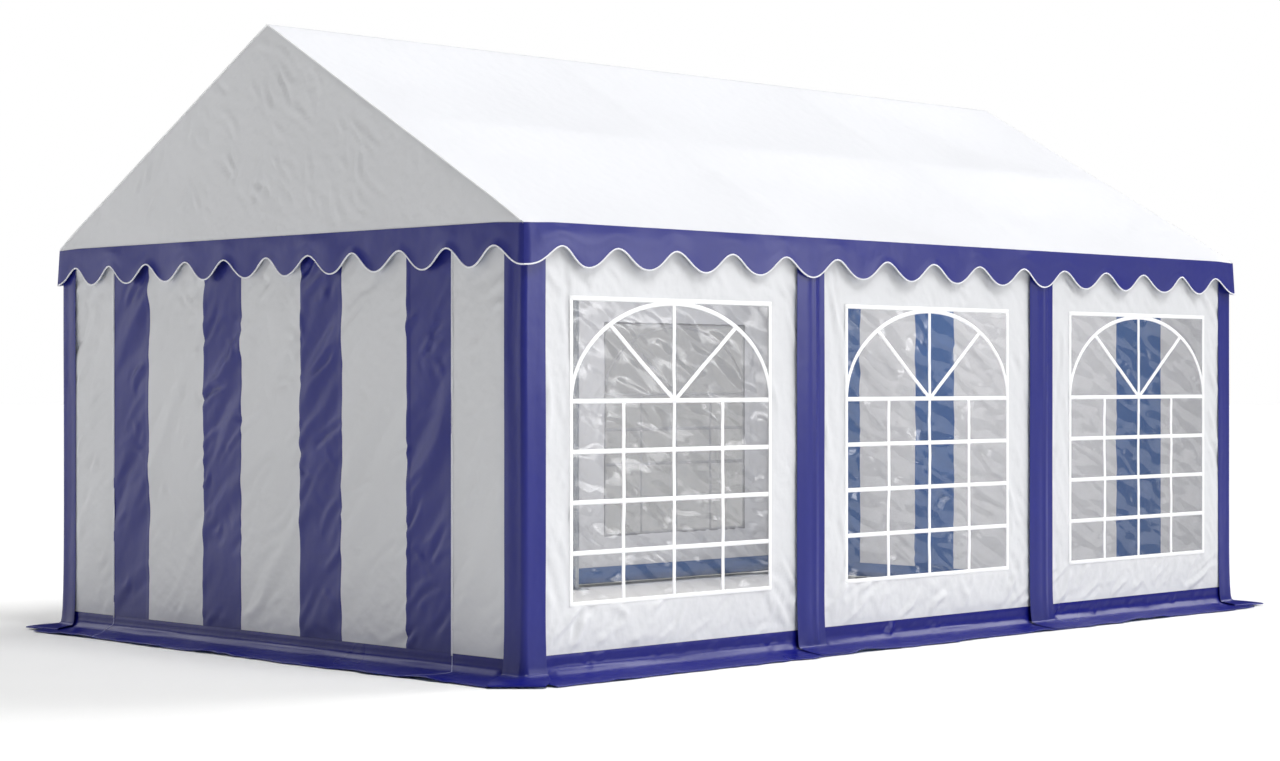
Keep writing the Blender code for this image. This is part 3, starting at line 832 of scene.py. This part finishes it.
def skirt_surface(wall, along, way, half):
    """Where a skirt lies: (out, up) for arrays of places along it and ways down its section."""
    folds = SIDE_FOLDS if wall in ("left", "right") else END_FOLDS
    out, up, length = along_section(folds, way)
    calm = np.clip((half - np.abs(along)) / 0.25, 0, 1)
    covered = 1 - smooth(half - np.abs(along), 0.1, 0.15)
    if folds is SIDE_FOLDS:
        off_post = np.abs(np.abs(along) - POST_Y)
        calm = calm * smooth(off_post, COVER_HALF, COVER_HALF + 0.08)
        covered = np.maximum(covered, 1 - smooth(off_post, COVER_HALF, COVER_HALF + 0.04))
    tuck = 0.017 * covered
    out = out - tuck * smooth(out, 0.0, 0.03) * (1 - smooth(out, 0.05, 0.12))
    flap = np.clip((out - FOLD) / (SIDE_FOLDS[-1][0] - FOLD), 0, 1)

    def wave(size, number):
        return swell(along, 0 * along, size, SKIRT_SEEDS[wall] + number)

    reach = 0.022 * wave(0.55, 0) + 0.012 * wave(0.16, 2) + 0.009 * wave(0.07, 3)
    out = out + flap * (calm * reach - 0.006)
    bend = np.exp(-((out - 0.028) / 0.016) ** 2)
    out = out + bend * calm * 0.006 * wave(0.33, 4)
    up = up + bend * calm * 0.006 * wave(0.27, 5)
    lift = np.maximum(wave(0.22, 6) - 0.1, 0) + 0.35 * np.maximum(wave(0.08, 7) - 0.2, 0)
    up = up + calm * flap ** 2 * 0.02 * lift
    return out, np.maximum(up, GROUND_GAP), length


def skirt(wall):
    """The blue foot of a wall: an upright band, a crisp fold and a flap that lies on the ground."""
    side = wall in ("left", "right")
    plane, reach = (WALL_X, WALL_Y) if side else (WALL_Y, WALL_X)
    half = reach - 0.026
    rows = 26
    hem_share = 0.01
    bm, across, way = unit_grid(round(2 * half / FOOT_STEP), rows, hem=hem_share)
    along = across * half
    out, up, length = skirt_surface(wall, along, np.minimum(way, 1 - hem_share), half)
    if side:
        band = smooth(up, 0.03, 0.05) * smooth(SIDE_BOTTOM - up, 0.004, 0.022)
        dice = random.Random(SKIRT_SEEDS[wall])
        creases = scatter(dice, (round(half * 15), (-half, 0.05), (half, 0.11), (35, 60), (0.06, 0.16),
                                 (0.014, 0.02), (0.0015, 0.0065)))
        out = out + band * crease_relief(along, up, creases)
    for face in bm.faces:
        face.material_index = 2 if face.calc_center_median().y < -1 + 1 / rows else 0
    place_points(bm, along, up - HEM * (way == 1), out)
    stand_up(bm, wall, plane)
    # The foot takes the blue darkened as painted shade, with painted daylight on its inner face.
    cloth = add_piece(wall + "_skirt_cloth", bm, [FOOT_BLUE_PAINTED_SHADE, BLUE_INSIDE_PAINTED_DAYLIGHT, CUT_EDGE, CUT_EDGE],
                      [wall + "_skirt"], CLOTH, inner=1)
    if not side:
        for sign in (-1, 1):
            flap_edge(wall, sign, half)


def flap_edge(end, sign, half):
    """The pale cut edge of the door's own foot flap, from the zip's end to the hem."""
    bm, across, way = unit_grid(2, 60)
    down = 0.07 + 0.925 * way
    reach, _, _ = along_section(END_FOLDS, down)
    aside = np.interp(reach, (0, FOLD, END_FOLDS[-1][0]), (0, 0.04, -0.085))
    along = sign * (DOOR_HALF + aside + 0.0026 * across)
    out, up, _ = skirt_surface(end, along, down, half)
    place_points(bm, along, up + 0.0012, out + 0.0008)
    stand_up(bm, end, WALL_Y)
    if sign < 0:
        bmesh.ops.reverse_faces(bm, faces=bm.faces)
    add_piece(f"{end}_flap_edge_{'right' if sign > 0 else 'left'}", bm, [CUT_EDGE],
              (), 0.001)


def finish_cover(node, bm, hem=()):
    """Makes a post's cover a piece: glossier blue below its fold, darker as painted shade, and a pale cut
    edge on its hem.
    """
    for face in bm.faces:
        face.material_index = 2 if face.calc_center_median().z < FLAP_TOP else 0
    for face in hem:
        face.material_index = 4
    materials = [COVER_BLUE, BLUE_INSIDE_PAINTED_DAYLIGHT, FOOT_BLUE_PAINTED_SHADE, BLUE_INSIDE_PAINTED_DAYLIGHT] + [CUT_EDGE, CUT_EDGE] * bool(hem)
    cloth = add_piece(node + "_cloth", bm, materials, [node], CLOTH, inner=1)


def post_cover(row, side):
    """A blue flap down the outside of a post, closed over the joint of two walls."""
    node = f"{row}_{side}_post_cover"
    middle = sum(along_wall(side, node)) / 2
    seed = {"second": 61, "third": 65}[row] + (0 if side == "right" else 7)
    bm, across, way = unit_grid(30, COVER_ROWS, foot=COVER_FOOT)
    out, up, length = along_section(POST_COVER_FOLDS, way)
    post_bulge = 0.0062 * smooth(across, -1.0, -0.3) * (1 - smooth(across, 0.36, 0.62))
    rib = 0.0024 * np.exp(-((across - 0.28) / 0.07) ** 2) - 0.0018 * np.exp(-((across - 0.03) / 0.15) ** 2)
    waver = 0.002 * swell(across * 0.6, up, 0.6, seed)
    out = out + (post_bulge + rib + waver) * np.clip((up - FOLD) / 0.03, 0, 1)
    width = COVER_HALF * (1 + 0.012 * swell(up, across * 0, 0.4, seed + 3))
    place_points(bm, middle + across * width, up, out)
    stand_up(bm, side, WALL_X)
    finish_cover(node, bm)


def corner_section(way_round, out):
    """An angle section with a rounded edge, from the gable, 0, to the side, 1: (x, y) off the corner."""
    arc = CORNER_BEND * math.pi / 2
    straight = CORNER_ARM - CORNER_BEND
    run = way_round * (2 * straight + arc)
    angle = math.pi / 2 - np.clip((run - straight) / CORNER_BEND, 0, math.pi / 2)
    reach = CORNER_BEND + out
    x = np.where(run < straight, -CORNER_ARM + run, -CORNER_BEND + reach * np.cos(angle))
    y = np.where(run > straight + arc, -CORNER_BEND - (run - straight - arc),
                 -CORNER_BEND + reach * np.sin(angle))
    return x, y


def corner_foot(way_round, cut_square):
    """Where the cover's hem lies on the ground: (x, y) off the corner.

    Cut square, the hem is a straight line across the corner. Else it runs out to a point.
    """
    if cut_square:
        run = (way_round - 0.5) * 2 * CORNER_ARM * math.sqrt(0.5)
        return 0.092 + run, 0.131 - run
    first = way_round < 0.5
    t = np.where(first, way_round * 2, 2 - way_round * 2)
    near = -CORNER_ARM + (CORNER_POINT + CORNER_ARM) * t
    far = CORNER_POINT - 0.025 * (1 - t)
    return np.where(first, near, far), np.where(first, far, near)


def corner_cover(end, side):
    """A blue sheet wrapped round a corner post, with its foot spread on the ground."""
    node = f"{end}_{side}_corner_cover"
    seed = 65 + (end == "front") * 3 + (side == "right") * 9
    flip_x = 1 if side == "right" else -1
    flip_y = 1 if end == "back" else -1
    hem_share = 0.0016
    bm, across, way = unit_grid(28, COVER_ROWS, foot=COVER_FOOT, hem=hem_share)
    way_round = (1 + across) / 2 if flip_x != flip_y else (1 - across) / 2
    out, up, length = along_section(CORNER_FOLDS, np.minimum(way, 1 - hem_share))
    spread = smooth(0.039 - up, 0.0, 0.025)
    flute = 0.0012 * np.sin(way_round * 15 + swell(up, up * 0, 0.6, seed))
    flute += 0.0022 * swell(way_round, up, 0.5, seed + 2)
    x, y = corner_section(way_round, out + np.maximum(flute, -0.0012) * (1 - spread) * (up < 2.04))
    foot_x, foot_y = corner_foot(way_round, (end, side) == ("front", "right"))
    x += (foot_x - x) * spread
    y += (foot_y - y) * spread
    hem = [face for face in bm.faces if face.calc_center_median().y < -1 + 1 / COVER_ROWS]
    place_points(bm, flip_x * (WALL_X + x), flip_y * (WALL_Y + y), up - HEM * (way == 1))
    finish_cover(node, bm, hem)


def steel_frame():
    """The tubes keep their solids and take the zinc finish."""
    for name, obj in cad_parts.items():
        if name.endswith(("_post", "_truss", "_rail", "_purlin", "_tie")):
            obj.data.materials.clear()
            obj.data.materials.append(STEEL)


def add_light(name, kind, toward, power):
    """A light that shines from the way it is turned to."""
    data = bpy.data.lights.new(name, kind)
    data.energy = power
    obj = add_object(name, data)
    obj.rotation_euler = Vector(toward).to_track_quat("Z", "Y").to_euler()
    return obj


def soft_sun(name, toward, strength, angle, mirrored=True):
    """A softbox far off to one side, mirrored in the cloth's coat or not."""
    obj = add_light(name, "SUN", toward, strength)
    obj.data.angle = math.radians(angle)
    obj.visible_glossy = mirrored


def area_light(name, place, target, size, power, mirrored=False, warmth=0.0):
    """A soft panel that isn't seen itself: it lights the cloth or, where mirrored, only glints."""
    obj = add_light(name, "AREA", Vector(place) - Vector(target), power)
    obj.location = place
    obj.data.shape = "RECTANGLE"
    obj.data.size, obj.data.size_y = size
    obj.data.color = (1.0, 1.0 - warmth, 1.0 - 2 * warmth)
    obj.visible_camera = False
    obj.visible_diffuse = not mirrored
    obj.visible_glossy = mirrored


def floor(reach=120):
    """The floor, which isn't part of the tent."""
    add_mesh("studio_floor", flat_grid((-reach, -reach), (reach, reach), reach / 4), [FLOOR])


def sky_dome():
    """A dome that brightens towards the top, behind a backdrop that is seen as white paper."""
    world = bpy.data.worlds.new("studio")
    bpy.context.scene.world = world
    world.use_nodes = True
    tree = world.node_tree
    tree.nodes.clear()
    aim = add_node(tree, "ShaderNodeTexCoord").outputs["Generated"]
    height = add_node(tree, "ShaderNodeSeparateXYZ", None, {"Vector": aim}).outputs["Z"]
    rise = add_node(tree, "ShaderNodeMath", {1: 3.0}, {0: height}, operation="POWER", use_clamp=True)
    glow = add_node(tree, "ShaderNodeMapRange", {"To Min": 0.04, "To Max": 0.46}, {"Value": rise})
    dome = add_node(tree, "ShaderNodeBackground", {"Color": srgb("#FFFFFF")}, {"Strength": glow})
    paper = add_node(tree, "ShaderNodeBackground", {"Color": srgb("#FFFFFF"), "Strength": 1.0})
    seen = add_node(tree, "ShaderNodeLightPath").outputs["Is Camera Ray"]
    both = add_node(tree, "ShaderNodeMixShader", None, {0: seen, 1: dome, 2: paper})
    add_node(tree, "ShaderNodeOutputWorld", None, {"Surface": both})


def lights():
    """Softboxes round the tent, panels low down and mirrored in the foils, and daylight through the roof."""
    soft_sun("key", (0.55, 0.04, 0.83), 1.85, 28)
    soft_sun("side_light", (0.42, 0.87, 0.26), 0.8, 26, mirrored=False)
    soft_sun("foot_sheen", (0.1, 0.74, 0.66), 1.1, 26)
    soft_sun("window_glint", (0.775, 0.565, 0.25), 0.3, 20)
    soft_sun("left_sheen", (-0.79, -0.1, 0.6), 0.5, 26)
    soft_sun("gable_sheen", (-0.87, -0.46, 0.12), 0.35, 26)
    area_light("gable_lamp", (-4.5, -6.2, 0.8), (-0.6, -3.2, 0.4), (2.0, 1.2), 14)
    area_light("corner_glint", (6.1, 1.5, 2.5), (2.1, -2.6, 1.8), (3.2, 2.0), 74, mirrored=True)
    area_light("light_through_roof", (0, 0, 2.62), (0, 0, 0), (2.0, 5.4), 112, warmth=0.03)


def camera():
    """The photo's level camera, and plain colours as a screen shows them."""
    lens = bpy.data.cameras.new("camera")
    lens.lens = CAMERA_LENS
    lens.clip_end = 500
    obj = add_object("camera", lens)
    obj.location = CAMERA_PLACE
    obj.rotation_euler = (math.radians(90), 0, math.radians(CAMERA_TURN))
    bpy.context.scene.camera = obj
    bpy.context.scene.view_settings.view_transform = "Standard"


floor()
sky_dome()
lights()
camera()
steel_frame()
roof()
roof_welts()
for side, sign in (("right", 1), ("left", -1)):
    for number in (1, 2, 3):
        window_wall(side, number, sign * BAY * (number - 2))
    for row in ("second", "third"):
        post_cover(row, side)
for end in ("front", "back"):
    gable(end)
    door_panel(end)
    for side in ("left", "right"):
        side_strip(end, side)
        corner_cover(end, side)
    for sign in (-1, 1):
        zip_fastener(end, sign)
for wall in ("front", "right", "back", "left"):
    valance(wall)
    skirt(wall)
